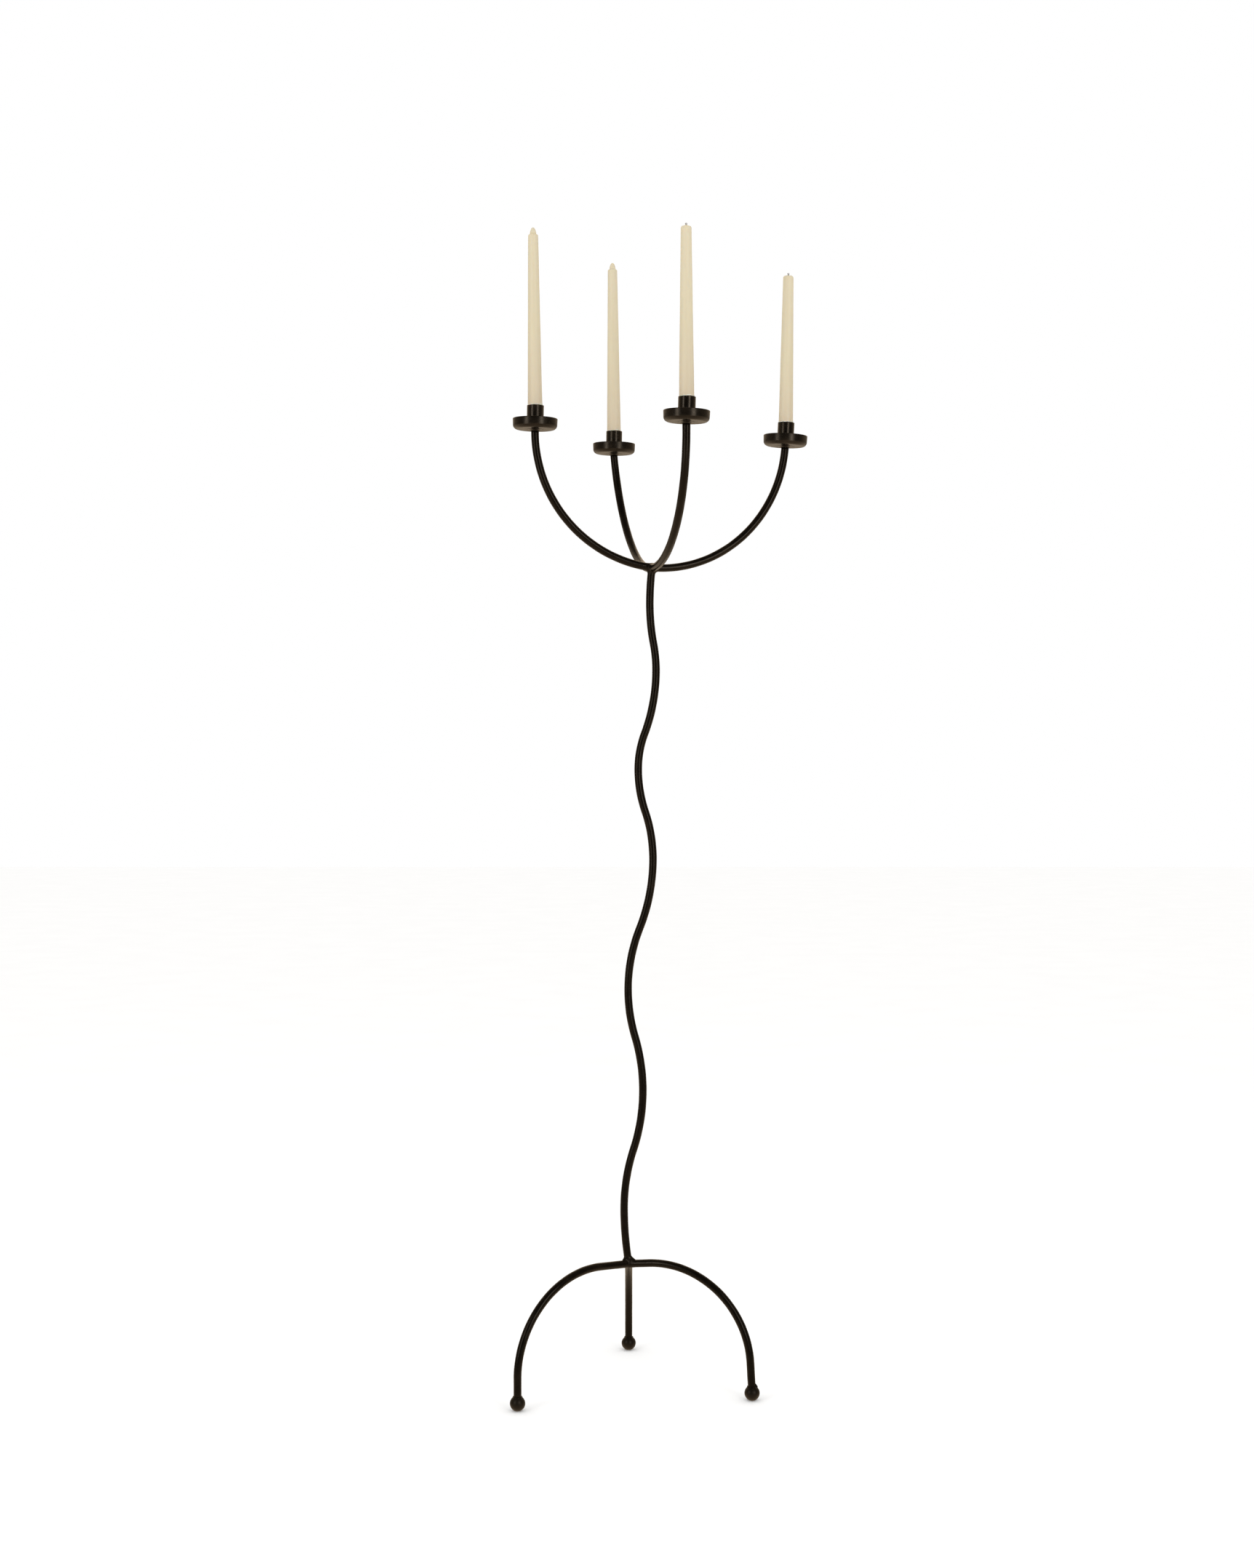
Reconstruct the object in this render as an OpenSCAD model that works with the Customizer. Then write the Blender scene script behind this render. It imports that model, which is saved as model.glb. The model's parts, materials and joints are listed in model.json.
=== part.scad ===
// Floor candelabrum of bent iron rod: a wavy stem on three bent legs with ball
// feet, and four bent arms that each carry a drip pan, a cup and a candle.
// The origin is on the floor, under the middle of the whole. +Z is up and -Y
// is the front.

/* [Rod] */
// Diameter of the rod that the stem, arms and legs are bent from
rod_d = 11.5; // [9:0.1:12]
// Radius of the weld nugget at the crown and at the foot of the stem
nugget_r = 7.5; // [7:0.1:8]

/* [Stem] */
// Height of the middle of the joint between stem and legs
base_z = 184.5; // [170:0.5:200]
// Height of the middle of the joint between stem and arms
crown_z = 1225.5; // [1215:0.5:1240]
// Distance of the stem's foot to the left of the origin
foot_offset = 48; // [44:1:52]
// How far the crown lies to the right of the stem's foot
crown_offset = 34.5; // [32:0.5:38]

/* [Ball feet] */
// Diameter of a ball foot
ball_d = 22.6; // [20:0.2:24]
// How much is worn flat under a ball foot
ball_flat = 0.5; // [0.3:0.1:1]
// Radius of the weld bead round the neck of a ball foot
bead_r = 1.4; // [1:0.1:1.6]

/* [Drip pan] */
// Outer diameter of a pan at its rim
pan_d = 65.8; // [60:0.2:70]
// Height of a pan, outside
pan_h = 16; // [15:0.1:20]
// Thickness of the pan's sheet
pan_t = 1.5; // [1:0.1:2]
// Outer radius of the pan's lower corner
pan_corner_r = 6.5; // [5:0.5:9]
// How much the pan's wall narrows on its way down, on the radius
pan_taper = 0.4; // [0.2:0.1:1.2]
// Diameter of the collar under a pan, at its top
collar_d = 24; // [20:1:30]
// Diameter of that collar at its foot
collar_foot_d = 15; // [13:1:18]
// Thickness of the collar under a pan
collar_t = 2; // [1.5:0.5:3]

/* [Candle cup] */
// Outer diameter of a cup
cup_d = 24.8; // [24.3:0.1:25]
// Bore of a cup
cup_bore = 22.8; // [22.7:0.1:23]
// Height of a cup
cup_h = 33.8; // [32:0.2:38]
// Thickness of a cup's floor
cup_floor = 2.5; // [2.5:0.1:3]
// Diameter of the screw that holds cup, pan and collar to the arm
screw_d = 5; // [4:0.5:6]

/* [Candle] */
// Diameter of a candle at its foot
candle_d = 22.2; // [21.8:0.1:22.2]
// Narrowing of a candle on its diameter for each millimetre of height
candle_taper = 0.027; // [0.02:0.001:0.03]
// Diameter of a wick
wick_d = 2; // [1.5:0.1:2.5]

/* [Hidden] */
// Turning points of the stem, upwards: how far right of its foot, height, and
// the lower bend's share of the way to the next turning point.
TURNS = [
    [-7, 268, 0.50],
    [21, 445, 0.53],
    [-1, 597, 0.47],
    [36, 792, 0.53],
    [14, 926, 0.36],
    [40.5, 1073, 0.39],
    [31.2, 1172, 1]
];

// Legs: name, direction from +X, reach, slope where it leaves the stem,
// straight length before its bend, and how far from upright it is at its foot.
LEGS = [
    ["left", 217.5, 203, 3.6, 52, 0],
    ["right", 338.2, 195, 6.6, 33, 3.4],
    ["rear", 90, 196, -8, 66, 0]
];

// Arms: name, direction from +X, reach, rise, slope where it leaves the crown,
// twist of its bend about the line from end to end, tilt of its pan to the
// right, lean of its candle to the right, height of its candle above the cup,
// and whether the candle has burnt.
ARMS = [
    ["left", 191.6, 175.8, 197.7, 6.4, 0, 1.1, -0.6, 259.4, false],
    ["rear", 106.65, 201.6, 188.7, -2.5, -7, 0.8, -0.5, 262.3, false],
    ["front", 283.5, 196.3, 188.5, -2.5, 1, 1.5, -0.2, 237.2, true],
    ["right", 11.9, 204.5, 182.5, -4, 8, 2.6, 0.9, 218.9, true]
];

function turn_x(turn) = turn[0];
function turn_z(turn) = turn[1];
function lower_share(turn) = turn[2];

function leg_direction(leg) = leg[1];
function leg_reach(leg) = leg[2];
function leg_slope(leg) = leg[3];
function leg_lead(leg) = leg[4];
function foot_slant(leg) = leg[5];

function arm_direction(arm) = arm[1];
function arm_reach(arm) = arm[2];
function arm_rise(arm) = arm[3];
function arm_slope(arm) = arm[4];
function arm_twist(arm) = arm[5];
function pan_tilt(arm) = arm[6];
function candle_lean(arm) = arm[7] - arm[6];
function candle_above(arm) = arm[8];
function is_burnt(arm) = arm[9];

// Node names of the pieces that every arm, and every leg, has one of.
ARM_PIECES = ["arm", "collar", "drip_pan", "candle_cup", "cup_screw", "candle", "wick"];
LEG_PIECES = ["leg", "ball_foot", "foot_weld"];
function node_name(piece, side) = str(piece, "_", side);

$fn = 48;
iron = [0.09, 0.08, 0.075];
weld_iron = [0.13, 0.11, 0.10];
steel = [0.62, 0.62, 0.60];
wax = [0.89, 0.83, 0.70];
cotton = [0.45, 0.40, 0.35];

past = 1;                          // how far a cut runs past what it cuts
arc_spare = 1;                     // degrees that an arm's bend runs on before it is cut
swell_d = 0.1;                     // extra diameter where two bends meet
stem_foot = [-foot_offset, 0, base_z];
crown = [crown_offset - foot_offset, 0, crown_z];
ball_z = ball_d / 2 - ball_flat;   // height of a ball foot's middle
neck_r = rod_d / 2 + 0.5;          // radius of the bead round a foot's neck
pan_floor = collar_t + pan_t;      // heights above the end of an arm
candle_seat = pan_floor + cup_floor;
screw_depth = 12;                  // depth of the tapped hole in an arm
screw_gap = 1;                     // space left under the screw in that hole
screw_head_d = 9.6;
screw_head_h = 2.3;
screw_sunk = 0.1;                  // how far the screw's head lies below the cup's floor
screw_slot = [screw_head_d + 1, 1.2, 2];
foot_chamfer = 1;                  // bevel round the foot of a candle
lean_height = 9.5;                 // a leaning candle turns about this height
nipple_d = 9.6;                    // wax tip of an unburnt candle
nipple_h = 10;
nipple_tip_r = 2.6;
shoulder_h = 1.8;                  // bevel below the tip of a candle
burnt_h = 3;                       // bevel round the top of a burnt candle
wick_above = 3.5;                  // burnt wick that stands clear of the wax

// ---- Rod -----------------------------------------------------------------

// An arc of rod in the XZ plane, about a centre and between two angles.
module rod_arc(centre, radius, from, to) {
    translate([centre[0], 0, centre[1]])
        rotate([90, 0, 0])
            rotate([0, 0, from])
                rotate_extrude(angle = to - from, $fn = 180)
                    translate([radius, 0])
                        circle(d = rod_d, $fn = 32);
}

// A straight length of rod in the XZ plane, from a point and along a slope.
module rod_straight(start, slope, length) {
    translate([start[0], 0, start[1]])
        rotate([0, 90 - slope, 0])
            cylinder(d = rod_d, h = length, $fn = 32);
}

// A slight swell of the rod, where one bend or straight meets the next. Its
// poles lie along the rod, at a slope from level.
module swell(place, slope) {
    translate([place[0], 0, place[1]])
        rotate([0, 90 - slope, 0])
            sphere(d = rod_d + swell_d);
}

// A bend at a turning point of the stem, where the rod is upright. A positive
// radius puts the bend's centre on the right. The angles count up the bend.
module stem_bend(turn, radius, from, to) {
    centre = [turn_x(turn) + radius, turn_z(turn)];
    if (radius > 0) rod_arc(centre, radius, 180 - to, 180 - from);
    else rod_arc(centre, -radius, from, to);
}

// Two bends that lead the rod from one turning point up to the next.
module stem_wave(lower, upper) {
    dx = turn_x(upper) - turn_x(lower);
    dz = turn_z(upper) - turn_z(lower);
    angle = 2 * atan(abs(dx) / dz);
    radii = sign(dx) * dz / sin(angle);
    stem_bend(lower, radii * lower_share(lower), 0, angle);
    stem_bend(upper, -radii * (1 - lower_share(lower)), -angle, 0);
    swell([turn_x(lower), turn_z(lower)], 90);
    swell([turn_x(lower), turn_z(lower)] + lower_share(lower) * [dx, dz], 90 - sign(dx) * angle);
}

// One bend between a turning point and an end of the stem.
module stem_end(turn, end) {
    dx = end[0] - turn_x(turn);
    dz = end[1] - turn_z(turn);
    angle = 2 * atan(dx / abs(dz));
    stem_bend(turn, abs(dz) / sin(angle), min(0, sign(dz) * angle), max(0, sign(dz) * angle));
}

// ---- Frame ---------------------------------------------------------------

module stem() {
    last = len(TURNS) - 1;
    color(iron) difference() {
        translate([-foot_offset, 0, 0]) {
            stem_end(TURNS[0], [0, base_z]);
            for (i = [0 : last - 1]) stem_wave(TURNS[i], TURNS[i + 1]);
            stem_end(TURNS[last], [crown_offset, crown_z]);
            swell([turn_x(TURNS[last]), turn_z(TURNS[last])], 90);
        }
        weld_nugget(crown);
        weld_nugget(stem_foot);
    }
}

module weld_nugget(middle) {
    translate(middle) sphere(r = nugget_r);
}

module crown_weld() {
    color(weld_iron) weld_nugget(crown);
}

module base_weld() {
    color(weld_iron) weld_nugget(stem_foot);
}

// ---- Legs ----------------------------------------------------------------

// Places a leg's pieces: X runs outwards along the leg, from under the stem.
module at_leg(leg) {
    translate([-foot_offset, 0, 0]) rotate([0, 0, leg_direction(leg)]) children();
}

// A leg's rod: straight out, round one bend and straight down to its foot.
module leg_rod(leg) {
    slope = leg_slope(leg);
    slant = foot_slant(leg);
    foot = [leg_reach(leg), ball_z];
    bend_start = [0, base_z] + leg_lead(leg) * [cos(slope), sin(slope)];
    to_foot = foot - bend_start;
    radius = (to_foot[0] * cos(slant) + to_foot[1] * sin(slant)) / (1 + sin(slope - slant));
    centre = bend_start + radius * [sin(slope), -cos(slope)];
    bend_end = centre + radius * [cos(slant), sin(slant)];
    rod_straight([0, base_z], slope, leg_lead(leg));
    swell(bend_start, slope);
    rod_arc(centre, radius, slant, 90 + slope);
    swell(bend_end, slant - 90);
    rod_straight(bend_end, slant - 90, norm(foot - bend_end));
}

module foot_ball(leg) {
    translate([leg_reach(leg), 0, ball_z]) sphere(d = ball_d);
}

module leg_bar(leg) {
    color(iron) difference() {
        at_leg(leg) leg_rod(leg);
        weld_nugget(stem_foot);
        at_leg(leg) foot_ball(leg);
    }
}

// A ball worn flat where it stands on the floor.
module ball_foot(leg) {
    color(iron) at_leg(leg) difference() {
        foot_ball(leg);
        translate([leg_reach(leg) - ball_d, -ball_d, -2 * ball_d]) cube(2 * ball_d);
    }
}

// The weld bead in the corner between a leg and its ball.
module foot_weld(leg) {
    neck_z = sqrt(pow(ball_d / 2, 2) - pow(neck_r, 2));
    color(weld_iron) at_leg(leg)
        translate([leg_reach(leg), 0, ball_z])
            rotate([0, -foot_slant(leg), 0])
                difference() {
                    translate([0, 0, neck_z])
                        rotate_extrude()
                            translate([neck_r, 0])
                                circle(r = bead_r, $fn = 24);
                    cylinder(d = rod_d, h = ball_d, $fn = 32);
                    sphere(d = ball_d);
                }
}

// ---- Arms ----------------------------------------------------------------

// Places what an arm holds: the origin is the middle of the arm's cut end.
module at_arm_end(arm) {
    translate(crown)
        rotate([0, 0, arm_direction(arm)])
            translate([arm_reach(arm), 0, arm_rise(arm)])
                rotate([0, 0, -arm_direction(arm)])
                    rotate([0, pan_tilt(arm), 0])
                        children();
}

// An arm's rod: one bend from the crown to a little past the arm's end.
module arm_rod(arm) {
    reach = arm_reach(arm);
    rise = arm_rise(arm);
    slope = arm_slope(arm);
    half_turn = atan2(rise, reach) - slope;
    radius = norm([reach, rise]) / (2 * sin(half_turn));
    centre = radius * [-sin(slope), cos(slope)];
    translate(crown)
        rotate([0, 0, arm_direction(arm)])
            rotate(a = arm_twist(arm), v = [reach, 0, rise])
                rod_arc(centre, radius, slope - 90, slope - 90 + 2 * half_turn + arc_spare);
}

module arm_bar(arm) {
    color(iron) difference() {
        arm_rod(arm);
        weld_nugget(crown);
        at_arm_end(arm) {
            translate([-rod_d, -rod_d, 0]) cube(2 * rod_d);
            translate([0, 0, -screw_depth]) cylinder(d = screw_d, h = screw_depth + past);
        }
    }
}

module collar(arm) {
    color(iron) at_arm_end(arm) difference() {
        cylinder(d1 = collar_foot_d, d2 = collar_d, h = collar_t);
        translate([0, 0, -past]) cylinder(d = screw_d, h = collar_t + 2 * past);
    }
}

// Half of a pan's section, filled in down to the axis: its wall leans out and
// its lower corner is round.
module pan_section(radius, corner_r, height) {
    foot_r = radius - pan_taper;
    square([foot_r - corner_r, height]);
    translate([foot_r - corner_r, corner_r]) circle(r = corner_r);
    polygon([[0, corner_r], [foot_r, corner_r], [radius, height], [0, height]]);
}

module drip_pan(arm) {
    rim_r = pan_d / 2 - pan_t / 2;
    wall_h = pan_h - pan_t / 2;
    color(iron) at_arm_end(arm) translate([0, 0, collar_t]) rotate_extrude() {
        difference() {
            intersection() {
                pan_section(pan_d / 2, pan_corner_r, wall_h);
                square([pan_d, wall_h]);
            }
            translate([0, pan_t])
                pan_section(pan_d / 2 - pan_t, pan_corner_r - pan_t, wall_h);
            square([screw_d, 3 * pan_t], center = true);
        }
        translate([rim_r, wall_h]) intersection() {
            circle(d = pan_t, $fn = 24);
            translate([-pan_t, 0]) square([2 * pan_t, pan_t]);
        }
    }
}

module screw_head() {
    translate([0, 0, candle_seat - screw_head_h - screw_sunk])
        cylinder(d1 = screw_d, d2 = screw_head_d, h = screw_head_h);
}

module candle_cup(arm) {
    color(iron) at_arm_end(arm) difference() {
        translate([0, 0, pan_floor]) cylinder(d = cup_d, h = cup_h);
        translate([0, 0, candle_seat]) cylinder(d = cup_bore, h = cup_h);
        cylinder(d = screw_d, h = candle_seat);
        screw_head();
        translate([0, 0, candle_seat - screw_sunk]) cylinder(d = screw_head_d, h = past);
    }
}

// A countersunk screw with a slot. Its thread is left out.
module cup_screw(arm) {
    color(steel) at_arm_end(arm) difference() {
        union() {
            translate([0, 0, screw_gap - screw_depth])
                cylinder(d = screw_d, h = screw_depth + candle_seat - screw_head_h - screw_gap);
            screw_head();
        }
        translate([0, 0, candle_seat]) cube(screw_slot, center = true);
    }
}

// ---- Candles -------------------------------------------------------------

// Places a candle: it stands on the cup's floor and leans a little in its bore.
module at_candle(arm) {
    lean = candle_lean(arm);
    lift = candle_d / 2 * sin(abs(lean));
    at_arm_end(arm)
        translate([0, 0, candle_seat + lean_height])
            rotate([0, lean, 0])
                translate([0, 0, lift - lean_height])
                    children();
}

// Length of a candle's wax, below its tip.
function wax_length(arm) = cup_h - cup_floor + candle_above(arm);

module candle(arm) {
    tip_h = is_burnt(arm) ? 0 : nipple_h;
    bevel_h = is_burnt(arm) ? burnt_h : shoulder_h;
    body_h = wax_length(arm) - tip_h - bevel_h;
    chamfer_d = candle_d - foot_chamfer * candle_taper;
    top_d = candle_d - body_h * candle_taper;
    bevel_d = top_d - 2 * bevel_h;
    color(wax) at_candle(arm) difference() {
        union() {
            cylinder(d1 = candle_d - 2 * foot_chamfer, d2 = chamfer_d, h = foot_chamfer);
            translate([0, 0, foot_chamfer])
                cylinder(d1 = chamfer_d, d2 = top_d, h = body_h - foot_chamfer);
            translate([0, 0, body_h]) cylinder(d1 = top_d, d2 = bevel_d, h = bevel_h);
            if (!is_burnt(arm)) candle_nipple(body_h + bevel_h);
        }
        translate([0, 0, -past]) cylinder(d = wick_d, h = wick_length(arm) + past, $fn = 24);
    }
}

// The pointed wax tip of a candle that was never lit.
module candle_nipple(start) {
    cone_h = nipple_h - nipple_tip_r;
    translate([0, 0, start]) cylinder(d1 = nipple_d, d2 = 2 * nipple_tip_r, h = cone_h);
    translate([0, 0, start + cone_h]) sphere(r = nipple_tip_r);
}

// A wick stops inside the tip of an unburnt candle and stands out of a burnt one.
function wick_length(arm) = wax_length(arm) + (is_burnt(arm) ? wick_above : -nipple_h / 2);

module wick(arm) {
    color(cotton) at_candle(arm) cylinder(d = wick_d, h = wick_length(arm), $fn = 24);
}

// ---- Assembly ------------------------------------------------------------

stem();
crown_weld();
base_weld();
for (leg = LEGS) {
    leg_bar(leg);
    ball_foot(leg);
    foot_weld(leg);
}
for (arm = ARMS) {
    arm_bar(arm);
    collar(arm);
    drip_pan(arm);
    candle_cup(arm);
    cup_screw(arm);
    candle(arm);
    wick(arm);
}
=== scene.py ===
"""Floor candelabrum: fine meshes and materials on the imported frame.

Lengths in tables are in millimetres, as a smith would give them, and MM turns
them into metres. Places come from the frame's boxes and joints.
"""

import json
from math import atan, atan2, ceil, cos, degrees, exp, hypot, pi, radians, sin, sqrt

import bmesh
import bpy
from mathutils import Matrix, Vector, noise


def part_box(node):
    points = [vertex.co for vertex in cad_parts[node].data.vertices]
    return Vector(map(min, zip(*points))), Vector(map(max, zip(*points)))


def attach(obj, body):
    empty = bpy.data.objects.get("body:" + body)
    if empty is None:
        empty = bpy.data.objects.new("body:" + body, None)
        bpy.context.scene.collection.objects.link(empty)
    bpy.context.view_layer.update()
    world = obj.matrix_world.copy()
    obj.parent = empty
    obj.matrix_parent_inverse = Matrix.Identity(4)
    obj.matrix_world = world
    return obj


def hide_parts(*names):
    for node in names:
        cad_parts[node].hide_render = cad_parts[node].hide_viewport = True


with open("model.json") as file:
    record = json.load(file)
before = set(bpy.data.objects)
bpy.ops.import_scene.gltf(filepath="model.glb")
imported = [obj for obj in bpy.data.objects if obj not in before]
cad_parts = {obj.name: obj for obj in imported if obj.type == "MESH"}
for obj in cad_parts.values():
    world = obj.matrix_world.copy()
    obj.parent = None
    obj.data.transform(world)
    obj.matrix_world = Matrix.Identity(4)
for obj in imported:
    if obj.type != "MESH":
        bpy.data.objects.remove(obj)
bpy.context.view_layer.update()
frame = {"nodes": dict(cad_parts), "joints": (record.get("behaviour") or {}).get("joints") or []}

# ---- Sizes -----------------------------------------------------------------

MM = 0.001
ROD_R = 5.75 * MM
NUGGET_R = 7.5 * MM
RING_STEP = 3 * MM          # spacing of the rings along a rod
ROD_SIDES = 28
FORGE_DEPTH = 0.12 * MM     # unevenness of hand-worked rod
WELD_RUN = 15 * MM          # how far weld metal has run along each rod
WELD_LAYER = 0.65 * MM      # its thickness over a rod where the rods meet, and half way out
WELD_LAYER_HALFWAY = 0.25 * MM
WELD_SINK = 0.6 * MM        # how far its end dips into the rod
FILLET_R = 3.85 * MM        # bar of weld metal that fills a corner between two rods

BALL_R = 11.3 * MM
BALL_FLAT = 0.5 * MM        # worn off the bottom of each ball
NECK_R = ROD_R + 0.5 * MM
NECK_UP = sqrt(BALL_R**2 - NECK_R**2)   # height of a ball's neck above its middle

COLLAR_R = 12 * MM
COLLAR_FOOT_R = 7 * MM
COLLAR_T = 2 * MM
PAN_R = 32.9 * MM
PAN_H = 16 * MM
PAN_T = 1.5 * MM
PAN_CORNER_R = 6.5 * MM
PAN_TAPER = 0.4 * MM        # loss of radius from the rim to the corner
CUP_R = 12.4 * MM
CUP_BORE_R = 11.4 * MM
CUP_H = 33.8 * MM
CUP_FLOOR = 2.5 * MM
SCREW_R = 2.5 * MM
SCREW_HEAD_R = 4.8 * MM
SCREW_HEAD_H = 2.3 * MM
PAN_FLOOR = COLLAR_T + PAN_T
CANDLE_SEAT = PAN_FLOOR + CUP_FLOOR

CANDLE_R = 11.1 * MM
CANDLE_TAPER = 0.0135       # loss of radius for each unit of height
LEAN_HEIGHT = 9.5 * MM      # height in the bore about which a candle leans
NIPPLE_R = 4.8 * MM
NIPPLE_H = 10.5 * MM
SHOULDER_R = 2 * MM         # rounding of an unburnt candle's shoulder, and of a burnt edge
BURNT_R = 3.2 * MM

# Turning points of the stem, upwards: right of its foot, height, and the lower
# bend's share of the way to the next one.
TURNS = [
    (-7, 268, 0.50),
    (21, 445, 0.53),
    (-1, 597, 0.47),
    (36, 792, 0.53),
    (14, 926, 0.36),
    (40.5, 1073, 0.39),
    (31.2, 1172, 1.0),
]

# Legs: slope in degrees where they leave the stem, straight length before the
# bend, and degrees from upright at the foot.
LEGS = {"left": (3.6, 52, 0), "right": (6.6, 33, 3.4), "rear": (-8, 66, 0)}

# Arms: slope where they leave the crown, twist of the bend about the line from
# end to end, lean of the candle to the right, height of the wax above the cup,
# and whether the candle has burnt.
ARMS = {
    "left": (6.4, 0, -0.6, 259.4, False),
    "rear": (-2.5, -7, -0.5, 262.3, False),
    "front": (-2.5, 1, -0.2, 237.2, True),
    "right": (-4, 8, 0.9, 218.9, True),
}


def middle(node):
    """Middle of a CAD node's box."""
    low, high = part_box(node)
    return (low + high) / 2


CROWN = middle("crown_weld")
STEM_FOOT = middle("base_weld")
LIFT_AXES = {j["name"]: Vector(j["axis"]).normalized() for j in frame["joints"]}


def cup_axis(side):
    """Direction in which a cup stands and its candle lifts."""
    return LIFT_AXES[side + "_candle_lift"]


def arm_end(side):
    """Middle of the cut end of an arm, under its collar."""
    return middle("collar_" + side) - cup_axis(side) * COLLAR_T / 2


def at_arm_end(side):
    """Matrix that stands a piece on the end of an arm."""
    axis = cup_axis(side)
    return Matrix.Translation(arm_end(side)) @ Matrix.Rotation(atan2(axis.x, axis.z), 4, "Y")


def at_candle(side):
    """Matrix that stands a candle in its cup, leaning a little in the bore."""
    axis = cup_axis(side)
    lean = radians(ARMS[side][2]) - atan2(axis.x, axis.z)
    lift = CANDLE_R * sin(abs(lean))
    seat = Matrix.Translation((0, 0, CANDLE_SEAT + LEAN_HEIGHT))
    turn = Matrix.Rotation(lean, 4, "Y")
    return at_arm_end(side) @ seat @ turn @ Matrix.Translation((0, 0, lift - LEAN_HEIGHT))


# ---- Mesh tools ------------------------------------------------------------


def piece(name, bm, material, slot, body, *nodes):
    """Makes an object of a mesh, gives it its finish and lets it stand for CAD nodes."""
    mesh = bpy.data.meshes.new(name)
    bmesh.ops.recalc_face_normals(bm, faces=bm.faces[:])
    for face in bm.faces:
        face.smooth = True
    bm.to_mesh(mesh)
    bm.free()
    mesh.materials.append(material)
    obj = bpy.data.objects.new(name, mesh)
    bpy.context.scene.collection.objects.link(obj)
    if nodes:
        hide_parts(*nodes)
    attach(obj, body)


def corner(centre, radius, start, end, count):
    """Points of a round corner in a plane, between two angles in degrees."""
    angles = [radians(start + (end - start) * i / count) for i in range(count + 1)]
    return [(centre[0] + radius * cos(a), centre[1] + radius * sin(a)) for a in angles]


def arc(centre, radius, start, end):
    """Points a ring's step apart on an arc in a plane, between two angles in degrees."""
    length = abs(radians(end - start)) * radius
    return corner(centre, radius, start, end, max(2, ceil(length / RING_STEP)))


def straight(start, end):
    """Points a ring's step apart on a straight line in a plane."""
    length = hypot(end[0] - start[0], end[1] - start[1])
    count = max(1, ceil(length / RING_STEP))
    return [
        (start[0] + (end[0] - start[0]) * i / count, start[1] + (end[1] - start[1]) * i / count)
        for i in range(count + 1)
    ]


def without_repeats(points):
    """Drops each point that lies on the one before it."""
    kept = [points[0]]
    for point in points[1:]:
        if (point - kept[-1]).length > RING_STEP / 10:
            kept.append(point)
    return kept


def placed(bm, matrix):
    """A mesh, moved to where a matrix puts it."""
    bmesh.ops.transform(bm, matrix=matrix, verts=bm.verts[:])
    return bm


def around_axis(angle):
    """Level direction at an angle in degrees."""
    return Vector((cos(radians(angle)), sin(radians(angle)), 0))


def rough(point, size, depth):
    """Smooth unevenness at a point, of a size across and a depth either way."""
    return depth * noise.noise(point / size)


def tube(line, radius_at, sides=ROD_SIDES, depth=FORGE_DEPTH):
    """A closed rod along a line of points, with a radius for each distance along it."""
    bm = bmesh.new()
    rings = []
    travelled = 0
    tangent = (line[1] - line[0]).normalized()
    across = tangent.orthogonal().normalized()
    for i, point in enumerate(line):
        ahead = line[min(i + 1, len(line) - 1)] - line[max(i - 1, 0)]
        across.rotate(tangent.rotation_difference(ahead.normalized()))
        tangent = ahead.normalized()
        if i:
            travelled += (point - line[i - 1]).length
        other = tangent.cross(across)
        radius = radius_at(travelled)
        ring = []
        for k in range(sides):
            angle = 2 * pi * k / sides
            out = across * cos(angle) + other * sin(angle)
            place = point + out * radius
            uneven = rough(place, 14 * MM, depth) + rough(place, 45 * MM, depth)
            ring.append(bm.verts.new(place + out * uneven))
        rings.append(ring)
    for lower, upper in zip(rings, rings[1:]):
        for k in range(sides):
            following = (k + 1) % sides
            bm.faces.new((lower[k], lower[following], upper[following], upper[k]))
    bm.faces.new(rings[0][::-1])
    bm.faces.new(rings[-1])
    return bm


def lathe(profile, segments=96):
    """A closed solid turned from a closed outline of (radius, height) points."""
    bm = bmesh.new()
    rings = []
    for radius, height in profile:
        if radius < 1e-6:
            rings.append([bm.verts.new((0, 0, height))])
            continue
        angles = [2 * pi * k / segments for k in range(segments)]
        rings.append([bm.verts.new((radius * cos(a), radius * sin(a), height)) for a in angles])
    for lower, upper in zip(rings, rings[1:] + rings[:1]):
        if len(lower) == 1 and len(upper) == 1:
            continue
        for k in range(segments):
            following = (k + 1) % segments
            corners = [lower[k % len(lower)], lower[following % len(lower)]]
            corners += [upper[following % len(upper)], upper[k % len(upper)]]
            bm.faces.new(list(dict.fromkeys(corners)))
    return bm


def fused(bm, voxel, smoothing, depth):
    """Melts overlapping shapes into one skin with soft hollows between them."""
    mesh = bpy.data.meshes.new("melt")
    bm.to_mesh(mesh)
    bm.free()
    obj = bpy.data.objects.new("melt", mesh)
    bpy.context.scene.collection.objects.link(obj)
    remesh = obj.modifiers.new("remesh", "REMESH")
    remesh.mode = "VOXEL"
    remesh.voxel_size = voxel
    smooth = obj.modifiers.new("smooth", "SMOOTH")
    smooth.factor = 0.5
    smooth.iterations = smoothing
    evaluated = obj.evaluated_get(bpy.context.evaluated_depsgraph_get())
    melted = bmesh.new()
    melted.from_mesh(evaluated.to_mesh())
    evaluated.to_mesh_clear()
    bpy.data.objects.remove(obj)
    bpy.data.meshes.remove(mesh)
    melted.normal_update()
    shifts = [v.normal * rough(v.co, 2.5 * MM, depth) for v in melted.verts]
    for vertex, shift in zip(melted.verts, shifts):
        vertex.co += shift
    return melted


def add_ball(bm, centre, radius):
    """Adds a round ball to a mesh."""
    bmesh.ops.create_icosphere(
        bm, subdivisions=3, radius=radius, matrix=Matrix.Translation(centre)
    )


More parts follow.
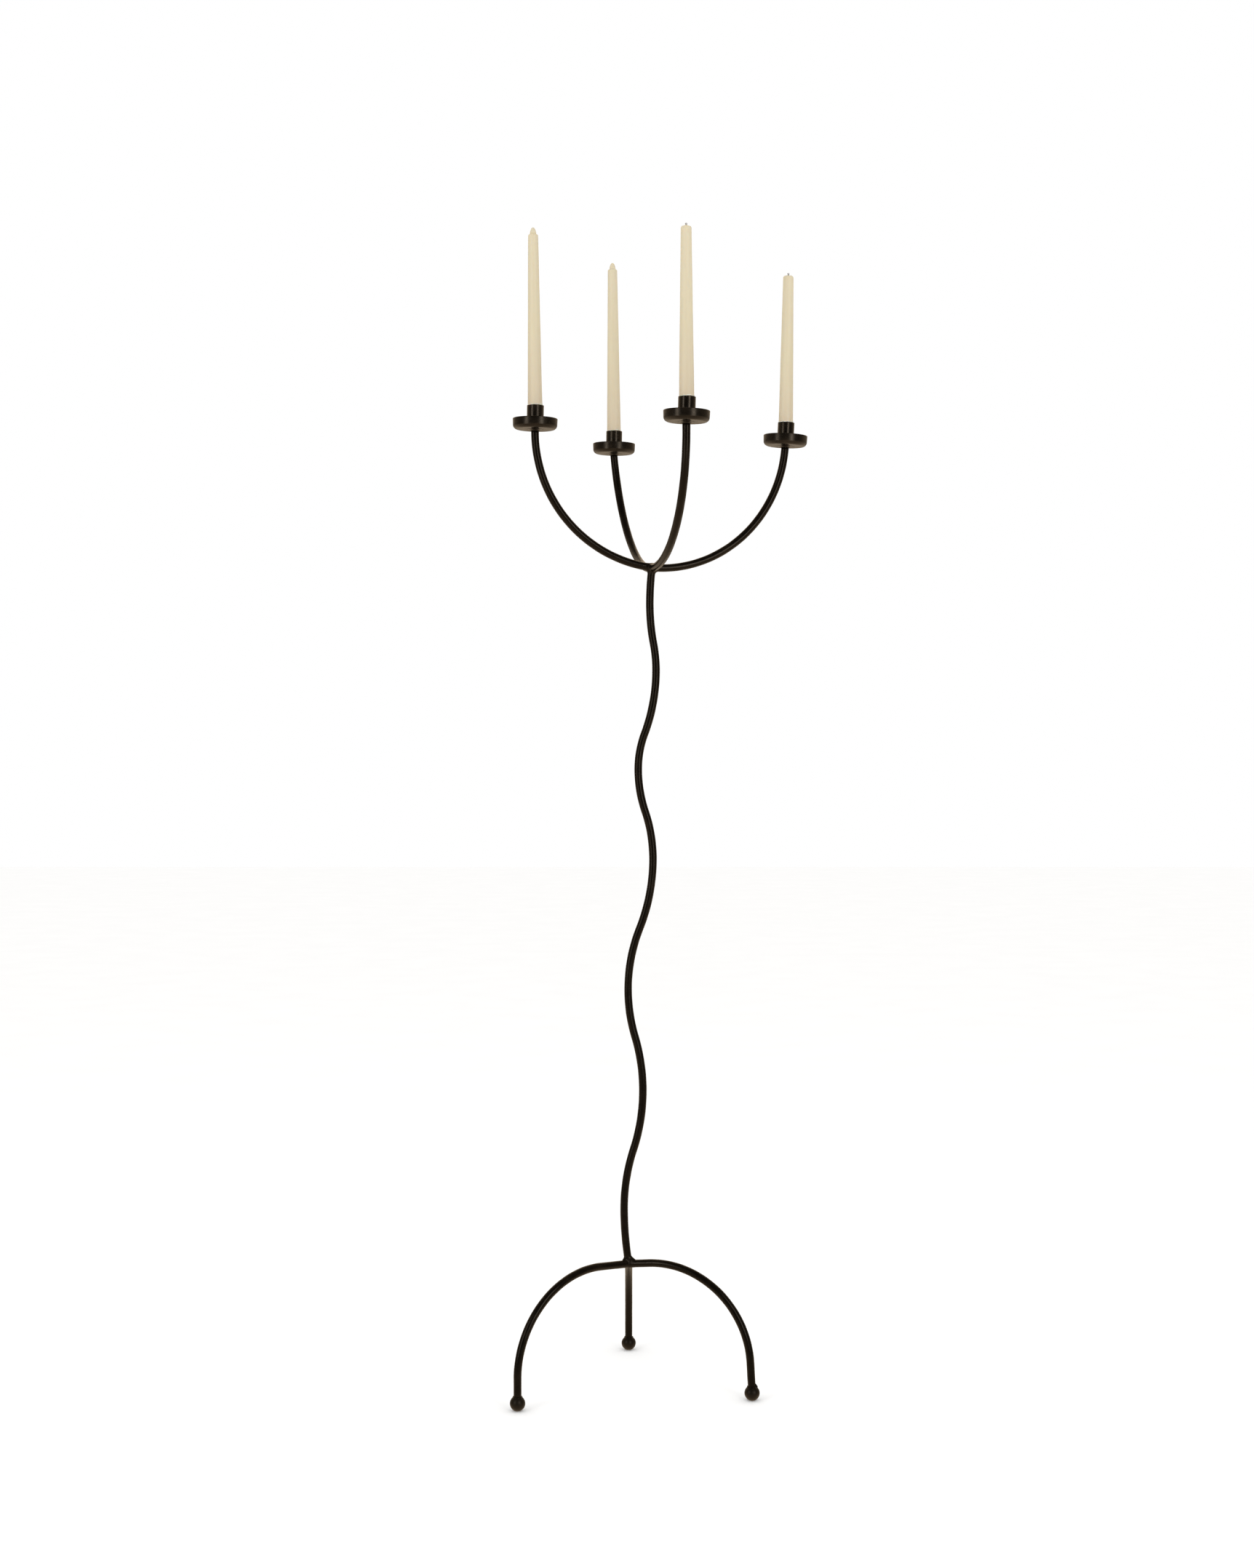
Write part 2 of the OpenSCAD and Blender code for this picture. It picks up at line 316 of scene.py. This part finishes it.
def add_cone(bm, start, end, start_r, end_r):
    """Adds a round bar that narrows from one point to another."""
    along = end - start
    turn = along.to_track_quat("Z", "Y").to_matrix().to_4x4()
    bmesh.ops.create_cone(
        bm, cap_ends=True, segments=32, radius1=start_r, radius2=end_r, depth=along.length,
        matrix=Matrix.Translation((start + end) / 2) @ turn,
    )


# ---- Materials -------------------------------------------------------------


def maker(tree):
    """A function that adds a node of a kind to a tree, with its settings and values."""

    def make(kind, **values):
        node = tree.nodes.new(kind)
        for key, value in values.items():
            if hasattr(node, key):
                setattr(node, key, value)
            else:
                node.inputs[key.replace("_", " ").title()].default_value = value
        return node

    return make


def shader(name):
    """A new material's Principled shader, with a maker for nodes and their links."""
    material = bpy.data.materials.new(name)
    material.use_nodes = True
    tree = material.node_tree
    return material, tree.nodes["Principled BSDF"], maker(tree), tree.links.new


def noise_of(make, link, coords, scale, detail=3.0, stretch=None):
    """Noise over the object's own place, in features of 1 / scale metres."""
    texture = make("ShaderNodeTexNoise", scale=scale, detail=detail)
    if stretch:
        mapping = make("ShaderNodeMapping", scale=stretch)
        link(coords.outputs["Object"], mapping.inputs["Vector"])
        link(mapping.outputs["Vector"], texture.inputs["Vector"])
    else:
        link(coords.outputs["Object"], texture.inputs["Vector"])
    return texture.outputs["Fac"]


def ramp_of(make, link, factor, stops):
    """Colours at stops along a factor."""
    ramp = make("ShaderNodeValToRGB")
    elements = ramp.color_ramp.elements
    while len(elements) < len(stops):
        elements.new(1.0)
    for element, (place, colour) in zip(elements, stops):
        element.position = place
        element.color = (*colour, 1)
    link(factor, ramp.inputs["Fac"])
    return ramp.outputs["Color"]


def spread(make, link, factor, low, high):
    """A noise's middle range turned into values from low to high."""
    node = make("ShaderNodeMapRange")
    node.inputs["From Min"].default_value = 0.3
    node.inputs["From Max"].default_value = 0.7
    node.inputs["To Min"].default_value = low
    node.inputs["To Max"].default_value = high
    link(factor, node.inputs["Value"])
    return node.outputs["Result"]


def bump_of(make, link, height, distance, strength, below=None):
    """A bump of a height, on top of another bump."""
    node = make("ShaderNodeBump", distance=distance, strength=strength)
    link(height, node.inputs["Height"])
    if below:
        link(below, node.inputs["Normal"])
    return node.outputs["Normal"]


def iron(name, grain, dent, dent_depth, smooth, gloss, shade):
    """Satin black lacquer, a little brown, over iron with dents of a size."""
    material, principled, make, link = shader(name)
    coords = make("ShaderNodeTexCoord")
    patches = noise_of(make, link, coords, 55, 5)
    colours = [
        (0.30, (0.0030, 0.0022, 0.0016)),
        (0.55, (0.0050, 0.0037, 0.0025)),
        (0.75, (0.0110, 0.0076, 0.0046)),
    ]
    shaded = [(place, [part * shade for part in colour]) for place, colour in colours]
    link(ramp_of(make, link, patches, shaded), principled.inputs["Base Color"])
    sheen = noise_of(make, link, coords, 260, 4)
    link(spread(make, link, sheen, smooth, smooth + 0.11), principled.inputs["Roughness"])
    dents = bump_of(make, link, noise_of(make, link, coords, dent, 2), dent_depth, 0.8)
    fine = bump_of(make, link, noise_of(make, link, coords, grain, 3), 0.04 * MM, 0.35, dents)
    link(fine, principled.inputs["Normal"])
    principled.inputs["Specular IOR Level"].default_value = gloss
    principled.inputs["Specular Tint"].default_value = (1.0, 0.82, 0.63, 1)
    return material


def wax():
    """Cream candle wax: soft, slightly see-through and streaked, with painted shade that darkens it
    towards the foot.
    """
    material, principled, make, link = shader("wax")
    coords = make("ShaderNodeTexCoord")
    streaks = noise_of(make, link, coords, 1, 3, (130, 130, 6))
    colours = [
        (0.30, (0.590, 0.516, 0.358)),
        (0.52, (0.612, 0.540, 0.377)),
        (0.75, (0.635, 0.564, 0.396)),
    ]
    split = make("ShaderNodeSeparateXYZ")
    link(coords.outputs["Generated"], split.inputs["Vector"])
    # Painted shade: the wax is darkened and dulled towards the candle's foot to stand in for the dimmer
    # light low down.
    painted_foot_shade = [(0.1, (0.90, 0.86, 0.88)), (0.5, (0.97, 0.965, 0.96)), (1.0, (1.0, 1.0, 1.02))]
    tinted = make("ShaderNodeVectorMath", operation="MULTIPLY")
    link(ramp_of(make, link, streaks, colours), tinted.inputs[0])
    link(ramp_of(make, link, split.outputs["Z"], painted_foot_shade), tinted.inputs[1])
    link(tinted.outputs["Vector"], principled.inputs["Base Color"])
    cloud = noise_of(make, link, coords, 140, 4)
    link(spread(make, link, cloud, 0.36, 0.52), principled.inputs["Roughness"])
    ripples = bump_of(make, link, streaks, 0.1 * MM, 0.3)
    fine = bump_of(make, link, noise_of(make, link, coords, 1300, 2), 0.03 * MM, 0.3, ripples)
    link(fine, principled.inputs["Normal"])
    principled.inputs["Subsurface Weight"].default_value = 0.35
    principled.inputs["Subsurface Radius"].default_value = (1.0, 0.72, 0.42)
    principled.inputs["Subsurface Scale"].default_value = 5 * MM
    return material


def scraped_wax():
    """Paler wax, shaved up where a candle was pressed into its cup."""
    material, principled, make, link = shader("scraped_wax")
    coords = make("ShaderNodeTexCoord")
    crumbs = noise_of(make, link, coords, 700, 4)
    colours = [(0.3, (0.68, 0.62, 0.50)), (0.7, (0.80, 0.77, 0.70))]
    link(ramp_of(make, link, crumbs, colours), principled.inputs["Base Color"])
    link(spread(make, link, crumbs, 0.5, 0.7), principled.inputs["Roughness"])
    link(bump_of(make, link, crumbs, 0.2 * MM, 0.6), principled.inputs["Normal"])
    principled.inputs["Subsurface Weight"].default_value = 0.3
    principled.inputs["Subsurface Scale"].default_value = 2 * MM
    return material


def cotton():
    """Braided cotton, charred towards the end that burnt."""
    material, principled, make, link = shader("cotton")
    coords = make("ShaderNodeTexCoord")
    fibres = noise_of(make, link, coords, 1, 3, (2500, 2500, 500))
    colours = [
        (0.30, (0.030, 0.024, 0.020)),
        (0.50, (0.140, 0.105, 0.080)),
        (0.70, (0.420, 0.360, 0.300)),
    ]
    link(ramp_of(make, link, fibres, colours), principled.inputs["Base Color"])
    link(bump_of(make, link, fibres, 0.15 * MM, 0.8), principled.inputs["Normal"])
    principled.inputs["Roughness"].default_value = 0.9
    return material


def bright_steel():
    """Plain turned steel of the hidden screws."""
    material, principled, make, link = shader("bright_steel")
    coords = make("ShaderNodeTexCoord")
    turning = noise_of(make, link, coords, 1, 2, (300, 300, 4000))
    colours = [(0.3, (0.45, 0.45, 0.44)), (0.7, (0.66, 0.66, 0.64))]
    link(ramp_of(make, link, turning, colours), principled.inputs["Base Color"])
    link(spread(make, link, turning, 0.25, 0.45), principled.inputs["Roughness"])
    principled.inputs["Metallic"].default_value = 1.0
    return material


def floor_white():
    """Matt white studio floor with the faintest mottling."""
    material, principled, make, link = shader("floor_white")
    coords = make("ShaderNodeTexCoord")
    mottle = noise_of(make, link, coords, 6, 4)
    colours = [(0.3, (0.957, 0.953, 0.945)), (0.7, (0.975, 0.971, 0.963))]
    link(ramp_of(make, link, mottle, colours), principled.inputs["Base Color"])
    principled.inputs["Roughness"].default_value = 0.9
    principled.inputs["Specular IOR Level"].default_value = 0.1
    return material


# Each iron's name, grain and dents in features of 1 / number metres, depth of the
# dents, least roughness, gloss, and how dark the lacquer is.
ROD_IRON = iron("rod_iron", 1500, 90, 0.35 * MM, 0.20, 0.28, 0.6)
PAN_IRON = iron("pan_iron", 1800, 45, 0.20 * MM, 0.22, 0.45, 1.0)
CUP_IRON = iron("cup_iron", 1800, 60, 0.15 * MM, 0.20, 0.60, 1.0)
BALL_IRON = iron("ball_iron", 1500, 150, 0.25 * MM, 0.36, 0.40, 1.0)
WELD_IRON = iron("weld_iron", 900, 330, 0.12 * MM, 0.25, 0.30, 0.8)
WAX = wax()
SCRAPED_WAX = scraped_wax()
COTTON = cotton()
STEEL = bright_steel()

# ---- Rods ------------------------------------------------------------------


def stem_line():
    """The stem's middle from its foot to the crown, as arcs that meet at its turns."""
    turns = [(STEM_FOOT.x + x * MM, z * MM, share) for x, z, share in TURNS]
    points = []

    def bend(turn, radius, start, end):
        centre = (turn[0] + radius, turn[1])
        if radius > 0:
            points.extend(arc(centre, radius, 180 - start, 180 - end))
        else:
            points.extend(arc(centre, -radius, start, end))

    def end_bend(turn, end):
        dx = end.x - turn[0]
        dz = end.z - turn[1]
        angle = degrees(2 * atan(dx / abs(dz)))
        radius = abs(dz) / sin(radians(angle))
        if dz < 0:
            bend(turn, radius, -angle, 0)
        else:
            bend(turn, radius, 0, angle)

    end_bend(turns[0], STEM_FOOT)
    for lower, upper in zip(turns, turns[1:]):
        dx = upper[0] - lower[0]
        dz = upper[1] - lower[1]
        angle = degrees(2 * atan(abs(dx) / dz))
        radii = dz / sin(radians(angle)) * (1 if dx > 0 else -1)
        bend(lower, radii * lower[2], 0, angle)
        bend(upper, -radii * (1 - lower[2]), -angle, 0)
    end_bend(turns[-1], CROWN)
    return without_repeats([Vector((x, 0, z)) for x, z in points])


def outward(origin, end, points):
    """Points of an upright plane set out from an origin towards an end."""
    away = Vector((end.x - origin.x, end.y - origin.y, 0)).normalized()
    return [origin + away * out + Vector((0, 0, up)) for out, up in points]


def leg_line(side):
    """A leg's middle: straight out, round one bend and down into its ball."""
    slope = radians(LEGS[side][0])
    lead = LEGS[side][1] * MM
    slant = radians(LEGS[side][2])
    foot = middle("ball_foot_" + side)
    reach = hypot(foot.x - STEM_FOOT.x, foot.y - STEM_FOOT.y)
    drop = BALL_R - BALL_FLAT - STEM_FOOT.z
    start = (lead * cos(slope), lead * sin(slope))
    over = (reach - start[0], drop - start[1])
    radius = (over[0] * cos(slant) + over[1] * sin(slant)) / (1 + sin(slope - slant))
    centre = (start[0] + radius * sin(slope), start[1] - radius * cos(slope))
    end = (centre[0] + radius * cos(slant), centre[1] + radius * sin(slant))
    points = straight((0, 0), start) + arc(centre, radius, 90 + degrees(slope), degrees(slant))
    points += straight(end, (reach, drop))
    return without_repeats(outward(STEM_FOOT, foot, points))


def arm_line(side):
    """An arm's middle: one bend from the crown to under its collar."""
    slope, twist = ARMS[side][:2]
    end = arm_end(side)
    reach = hypot(end.x - CROWN.x, end.y - CROWN.y)
    rise = end.z - CROWN.z
    half_turn = degrees(atan2(rise, reach)) - slope
    radius = hypot(reach, rise) / (2 * sin(radians(half_turn)))
    centre = (-radius * sin(radians(slope)), radius * cos(radians(slope)))
    points = arc(centre, radius, slope - 90, slope - 90 + 2 * half_turn)
    turn = Matrix.Rotation(radians(twist), 3, (end - CROWN).normalized())
    return without_repeats([CROWN + turn @ (p - CROWN) for p in outward(CROWN, end, points)])


def beyond(line, centre, distance):
    """The part of a line that lies further than a distance from a centre."""
    return [p for p in line if (p - centre).length > distance]


def first_beyond(line, centre, distance):
    """The point of a line that is nearest a centre, beyond a distance from it."""
    return min(beyond(line, centre, distance), key=lambda p: (p - centre).length)


def make_rods():
    """The stem, the legs and the arms, which end inside the welds. Returns their lines."""
    inside = NUGGET_R - 3 * MM
    lines = {"stem": beyond(beyond(stem_line(), CROWN, inside), STEM_FOOT, inside)}
    for side in LEGS:
        lines["leg_" + side] = beyond(leg_line(side), STEM_FOOT, inside)
    for side in ARMS:
        lines["arm_" + side] = beyond(arm_line(side), CROWN, inside)
    for node, line in lines.items():
        bm = tube(line, lambda travelled: ROD_R)
        piece(node + "_rod", bm, ROD_IRON, "black_iron", "stand", node)
    return lines


def weld(name, node, centre, stem, spokes, cornered, nugget_r, fillet_run):
    """Weld metal that has run along the rods from where they meet.

    It fills the corner between the stem and each cornered rod, with a bar that
    meets both at fillet_run from the centre.
    """
    bm = bmesh.new()
    add_ball(bm, centre, nugget_r)
    for line in [stem] + spokes:
        at_half = first_beyond(line, centre, WELD_RUN / 2)
        at_run = first_beyond(line, centre, WELD_RUN)
        add_cone(bm, centre, at_half, ROD_R + WELD_LAYER, ROD_R + WELD_LAYER_HALFWAY)
        add_cone(bm, at_half, at_run, ROD_R + WELD_LAYER_HALFWAY, ROD_R - WELD_SINK)
    for line in cornered:
        start = first_beyond(line, centre, fillet_run)
        end = first_beyond(stem, centre, fillet_run)
        add_cone(bm, start, end, FILLET_R, FILLET_R)
    melted = fused(bm, voxel=0.5 * MM, smoothing=64, depth=0.07 * MM)
    piece(name, melted, WELD_IRON, "weld_iron", "stand", node)


def make_welds(lines):
    """The welds at the crown and at the foot of the stem."""
    stem = lines["stem"]
    arms = [lines["arm_" + side] for side in ARMS]
    side_arms = [lines["arm_left"], lines["arm_right"]]
    weld("crown_bead", "crown_weld", CROWN, stem, arms, side_arms, 7.4 * MM, 8.9 * MM)
    legs = [lines["leg_" + side] for side in LEGS]
    weld("base_bead", "base_weld", STEM_FOOT, stem, legs, legs, 7.2 * MM, 9.4 * MM)


# ---- Ball feet -------------------------------------------------------------


def make_ball(side):
    """A ball foot: a slightly uneven ball, worn flat where it stands."""
    centre = middle("ball_foot_" + side)
    centre.z = BALL_R - BALL_FLAT
    bm = bmesh.new()
    bmesh.ops.create_icosphere(bm, subdivisions=6, radius=BALL_R)
    for vertex in bm.verts:
        out = vertex.co.normalized()
        vertex.co += out * (rough(vertex.co + centre, 9 * MM, 0.16 * MM) - 0.05 * MM)
        vertex.co.z = max(vertex.co.z, -centre.z)
    placed(bm, Matrix.Translation(centre))
    piece("ball_" + side, bm, BALL_IRON, "black_iron", "stand", "ball_foot_" + side)


def on_ball(angle, below, size):
    """A drop of weld metal on a ball, at an angle round it and below its neck."""
    out = sqrt(BALL_R**2 - (NECK_UP - below * MM) ** 2)
    return around_axis(angle) * out - Vector((0, 0, below * MM)), size * MM


def make_foot_bead(side, drops):
    """The weld round the neck of a ball foot, with drops of metal beside it."""
    ball = middle("ball_foot_" + side)
    ball.z = BALL_R - BALL_FLAT
    inward = Vector((STEM_FOOT.x - ball.x, STEM_FOOT.y - ball.y, 0)).normalized()
    slant = radians(LEGS[side][2])
    neck = ball + (inward * sin(slant) + Vector((0, 0, cos(slant)))) * NECK_UP
    bm = bmesh.new()
    for k in range(40):
        out = around_axis(360 * k / 40) * NECK_R
        add_ball(bm, neck + out, 1 * MM + rough(neck + out * 3, 6 * MM, 0.35 * MM))
    for place, size in drops:
        add_ball(bm, neck + place, size)
    melted = fused(bm, voxel=0.3 * MM, smoothing=12, depth=0.04 * MM)
    piece("foot_bead_" + side, melted, WELD_IRON, "weld_iron", "stand", "foot_weld_" + side)


def make_feet():
    """Three ball feet with their beads.

    The right one was welded a second time, which left a gusset down from the leg
    and a seam round the front of the ball.
    """
    steps = [i / 14 for i in range(15)]
    gusset = [(Vector((3.2 + 3.9 * t, -1.0, 5.7 - 5.7 * t)) * MM, (1.5 + 0.3 * t) * MM) for t in steps]
    seam = [on_ball(-128 + 4 * i, 2.6 - 0.085 * i, 0.95) for i in range(31)]
    drops = {"left": [], "right": gusset + seam, "rear": [on_ball(-90, 0.2, 0.9)]}
    for side in LEGS:
        make_ball(side)
        make_foot_bead(side, drops[side])


# ---- Pans and cups ---------------------------------------------------------


def make_collar(side):
    """The collar between an arm and its pan, which flares in a hollow curve."""
    edge = 0.1 * MM
    rise = COLLAR_T - edge
    outline = [(SCREW_R, 0)]
    for i in range(11):
        angle = radians(90 * i / 10)
        outline.append((COLLAR_R - (COLLAR_R - COLLAR_FOOT_R) * cos(angle), rise * sin(angle)))
    outline += [(COLLAR_R, COLLAR_T), (SCREW_R, COLLAR_T)]
    bm = placed(lathe(outline), at_arm_end(side))
    piece("collar_ring_" + side, bm, PAN_IRON, "black_iron", "stand", "collar_" + side)


def make_pan(side):
    """A drip pan of pressed sheet, with a round lower corner and a rolled edge."""
    seed = arm_end(side)
    flat_r = PAN_R - PAN_TAPER - PAN_CORNER_R
    near_corner_r = flat_r - 6 * MM
    inner_corner_r = PAN_CORNER_R - PAN_T
    lip = PAN_T / 2
    outline = [(SCREW_R, 0), (near_corner_r, 0)]
    outline += corner((flat_r, PAN_CORNER_R), PAN_CORNER_R, -90, -3, 16)
    outline += corner((PAN_R - lip, PAN_H - lip), lip, 0, 180, 10)
    outline += corner((flat_r, PAN_T + inner_corner_r), inner_corner_r, -3, -90, 14)
    outline += [(near_corner_r, PAN_T), (SCREW_R, PAN_T)]
    bm = lathe(outline, 128)
    for vertex in bm.verts:
        out = Vector((vertex.co.x, vertex.co.y, 0)) / PAN_R
        vertex.co += out * rough(vertex.co + seed, 40 * MM, 0.35 * MM)
    placed(bm, at_arm_end(side) @ Matrix.Translation((0, 0, COLLAR_T)))
    piece("pan_" + side, bm, PAN_IRON, "black_iron", "stand", "drip_pan_" + side)


def make_cup(side):
    """A candle cup: a plain tube with a floor, brazed into its pan."""
    edge = (CUP_R - CUP_BORE_R) / 2
    fillet = 0.9 * MM
    outline = [(SCREW_R, 0)]
    outline += corner((CUP_R + fillet, fillet), fillet, -90, -180, 6)
    outline += corner((CUP_R - edge, CUP_H - edge), edge, 0, 90, 4)
    outline += corner((CUP_BORE_R + edge, CUP_H - edge), edge, 90, 180, 4)
    outline += [(CUP_BORE_R, CUP_FLOOR), (SCREW_HEAD_R, CUP_FLOOR), (SCREW_R, CUP_FLOOR - SCREW_HEAD_H)]
    bm = placed(lathe(outline, 80), at_arm_end(side) @ Matrix.Translation((0, 0, PAN_FLOOR)))
    piece("cup_" + side, bm, CUP_IRON, "black_iron", "stand", "candle_cup_" + side)


# ---- Candles ---------------------------------------------------------------


def wax_height(side):
    """Height of a candle's wax from its foot."""
    return CUP_H - CUP_FLOOR + ARMS[side][3] * MM


def candle_outline(side):
    """Half of a candle's section, from the middle of its foot to its tip.

    A burnt one ends in a shallow pool of wax, an unburnt one in a nipple.
    """
    height = wax_height(side)
    burnt = ARMS[side][4]
    shoulder_z = height - (0 if burnt else NIPPLE_H)
    round_r = BURNT_R if burnt else SHOULDER_R
    top_r = CANDLE_R - CANDLE_TAPER * shoulder_z
    chamfer = 1 * MM
    outline = [(0, 0), (CANDLE_R - chamfer, 0)]
    for i in range(41):
        z = chamfer + (shoulder_z - round_r - chamfer) * i / 40
        outline.append((CANDLE_R - CANDLE_TAPER * z, z))
    outline += corner((top_r - round_r, shoulder_z - round_r), round_r, 0, 80, 8)[1:]
    if burnt:
        outline += [(top_r * 0.35, shoulder_z - 0.2 * MM), (1.6 * MM, shoulder_z - 0.9 * MM)]
        outline.append((0, shoulder_z - 1.0 * MM))
        return outline
    for i in range(13):
        up = i / 12
        outline.append((NIPPLE_R * sqrt(1 - up**1.7), shoulder_z + NIPPLE_H * up))
    return outline


def make_candle(side):
    """A taper candle with the slight unevenness of dipped wax."""
    bm = lathe(candle_outline(side), 72)
    top = wax_height(side)
    seed = arm_end(side)
    for vertex in bm.verts:
        out = Vector((vertex.co.x, vertex.co.y, 0)) / CANDLE_R
        local = Vector((vertex.co.x, vertex.co.y, vertex.co.z / 5)) + seed
        vertex.co += out * rough(local, 8 * MM, 0.16 * MM)
        nearness = exp((vertex.co.z - top) / (2.5 * MM))
        vertex.co.z += nearness * rough(vertex.co + seed, 5 * MM, 0.7 * MM)
    placed(bm, at_candle(side))
    piece("taper_" + side, bm, WAX, "wax", side + "_candle", "candle_" + side)


def make_scrapings(side):
    """An uneven thread of wax round a candle, where the cup's mouth shaved it.

    It rises a little to the right.
    """
    mouth = CUP_H - CUP_FLOOR
    radius = CANDLE_R - CANDLE_TAPER * mouth + 0.15 * MM
    seed = arm_end(side)
    line = []
    for k in range(181):
        around = around_axis(2 * k)
        tilted = mouth + (0.5 + 0.7 * around.x) * MM
        up = tilted + rough(seed + around * 20 * MM, 9 * MM, 0.5 * MM)
        out = radius + rough(seed - around * 9 * MM, 2 * MM, 0.15 * MM)
        line.append(around * out + Vector((0, 0, up)))

    def thickness(travelled):
        lumps = Vector((travelled, seed.x, seed.y))
        return max(0.12 * MM, 0.42 * MM + rough(lumps, 3 * MM, 0.45 * MM))

    bm = placed(tube(line, thickness, 10, 0.1 * MM), at_candle(side))
    piece("wax_thread_" + side, bm, SCRAPED_WAX, "wax", side + "_candle")


def make_wick(side):
    """Three charred strands that part at the burnt end of a wick."""
    bm = bmesh.new()
    foot = wax_height(side) - 3 * MM
    for k in range(3):
        start = 2 * pi * k / 3 + 0.5
        line = []
        for i in range(15):
            along = i / 14
            angle = start + 2.2 * along
            out = (0.55 + 1.9 * max(0, along - 0.45) ** 1.3) * MM
            height = foot + 6.8 * MM * along
            line.append(Vector((out * cos(angle), out * sin(angle), height)))
        strand = tube(line, lambda travelled: 0.62 * MM - travelled * 0.03, 10, 0.12 * MM)
        mesh = bpy.data.meshes.new("strand")
        strand.to_mesh(mesh)
        strand.free()
        bm.from_mesh(mesh)
        bpy.data.meshes.remove(mesh)
    placed(bm, at_candle(side))
    piece("burnt_wick_" + side, bm, COTTON, "cotton", side + "_candle", "wick_" + side)


def refinish(node, material):
    """Gives a CAD node that stays a better finish."""
    slots = frame["nodes"][node].data.materials
    slots.clear()
    slots.append(material)


def make_holders():
    """What each arm carries."""
    for side in ARMS:
        burnt = ARMS[side][4]
        make_collar(side)
        make_pan(side)
        make_cup(side)
        make_candle(side)
        make_scrapings(side)
        refinish("cup_screw_" + side, STEEL)
        if burnt:
            make_wick(side)
        else:
            refinish("wick_" + side, COTTON)


# ---- Stage -----------------------------------------------------------------


def make_floor():
    """A plain white floor, kept out of the reflections in the black iron."""
    bm = bmesh.new()
    bmesh.ops.create_grid(bm, x_segments=24, y_segments=24, size=12)
    mesh = bpy.data.meshes.new("floor")
    bm.to_mesh(mesh)
    bm.free()
    mesh.materials.append(floor_white())
    obj = bpy.data.objects.new("floor", mesh)
    bpy.context.scene.collection.objects.link(obj)
    obj.visible_glossy = False


def soft_box(name, place, target, width, height, radiance):
    """A rectangular studio light of an even brightness, aimed at a point."""
    light = bpy.data.lights.new(name, "AREA")
    light.shape = "RECTANGLE"
    light.size = width
    light.size_y = height
    light.energy = radiance * pi * width * height
    obj = bpy.data.objects.new(name, light)
    obj.location = place
    obj.rotation_euler = (Vector(target) - Vector(place)).to_track_quat("-Z", "Y").to_euler()
    bpy.context.scene.collection.objects.link(obj)


def make_lights():
    """A soft box on either side of the camera."""
    arms_height = (0, 0, 1.3)
    soft_box("left_box", (-2.4, -2.3, 1.5), arms_height, 0.8, 2.4, 3.0)
    soft_box("right_box", (1.8, -2.85, 1.5), arms_height, 0.8, 2.4, 3.6)


def make_world():
    """A white studio that mirrors in gloss as a dim room with a paler back and ground."""
    world = bpy.data.worlds.new("studio")
    bpy.context.scene.world = world
    world.cycles.sampling_method = "NONE"
    world.use_nodes = True
    tree = world.node_tree
    make, link = maker(tree), tree.links.new
    rays = make("ShaderNodeLightPath")
    split = make("ShaderNodeSeparateXYZ")
    link(make("ShaderNodeTexCoord").outputs["Generated"], split.inputs["Vector"])

    def slope(along, start, end, low, high):
        node = make("ShaderNodeMapRange", from_min=start, from_max=end, to_min=low, to_max=high)
        link(split.outputs[along], node.inputs["Value"])
        return node.outputs["Result"]

    def combine(first, second, operation="ADD"):
        node = make("ShaderNodeMath", operation=operation)
        link(first, node.inputs[0])
        link(second, node.inputs[1])
        return node.outputs["Value"]

    # What gloss sees: a room that pales to the back, a pale ground, and a bright
    # band low over the back. Other light comes evenly from all round.
    room = slope("Y", -0.5, 0.6, 0.01, 0.35)
    ground = slope("Z", -0.02, -0.40, 0.0, 0.50)
    behind = slope("Y", 0.5, 0.95, 0.0, 1.0)
    skyline = combine(behind, slope("Z", 0.08, 0.35, 0.0, 1.2), "MULTIPLY")
    lit = make("ShaderNodeMix", a=1.05)
    link(rays.outputs["Is Glossy Ray"], lit.inputs["Factor"])
    link(combine(combine(room, ground), skyline), lit.inputs["B"])
    strength = make("ShaderNodeMix", b=1.0)
    link(rays.outputs["Is Camera Ray"], strength.inputs["Factor"])
    link(lit.outputs["Result"], strength.inputs["A"])
    background = tree.nodes["Background"]
    link(strength.outputs["Result"], background.inputs["Strength"])
    tints = [(0.0, (1, 1, 1)), (1.0, (1.0, 0.80, 0.58))]
    link(ramp_of(make, link, rays.outputs["Is Glossy Ray"], tints), background.inputs["Color"])


def make_camera():
    """A camera 3.4 m in front and 1 m up, tipped down a little."""
    camera = bpy.data.cameras.new("camera")
    camera.lens = 52.14
    obj = bpy.data.objects.new("camera", camera)
    obj.location = (-0.0507, -3.3825, 0.9996)
    obj.rotation_euler = (radians(90 - 1.623), 0, 0)
    bpy.context.scene.collection.objects.link(obj)
    bpy.context.scene.camera = obj


make_camera()
bpy.context.scene.view_settings.view_transform = "Standard"
rod_lines = make_rods()
make_welds(rod_lines)
make_feet()
make_holders()
make_floor()
make_lights()
make_world()

bpy.context.view_layer.update()
